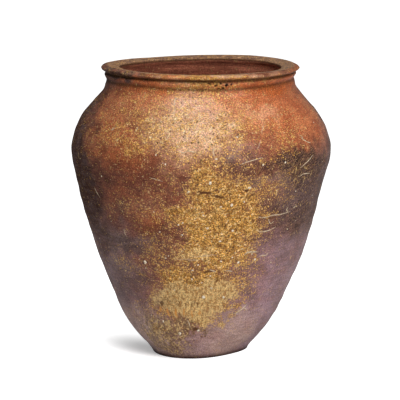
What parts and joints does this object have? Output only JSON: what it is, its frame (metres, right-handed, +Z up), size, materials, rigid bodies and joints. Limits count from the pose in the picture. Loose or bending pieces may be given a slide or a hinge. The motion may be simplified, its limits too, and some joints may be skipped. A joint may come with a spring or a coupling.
{
  "type": "storage jar",
  "caption": "Wide-shouldered open stoneware storage jar with a thick rolled lip, a short neck and a narrow flat foot, with melted wood-ash glaze.",
  "frame": {"origin": "centre of the foot's underside plane, below the middle of the jar's outline", "axes": "+Z up towards the mouth, -Y towards the front with the ash fall"},
  "size_m": [0.3776, 0.3776, 0.42],
  "materials": {
    "stoneware": "fired reddish brown clay with a semi-gloss speckled ash glaze"
  },
  "bodies": {
    "root": {"jar_body": "stoneware"}
  },
  "joints": []
}
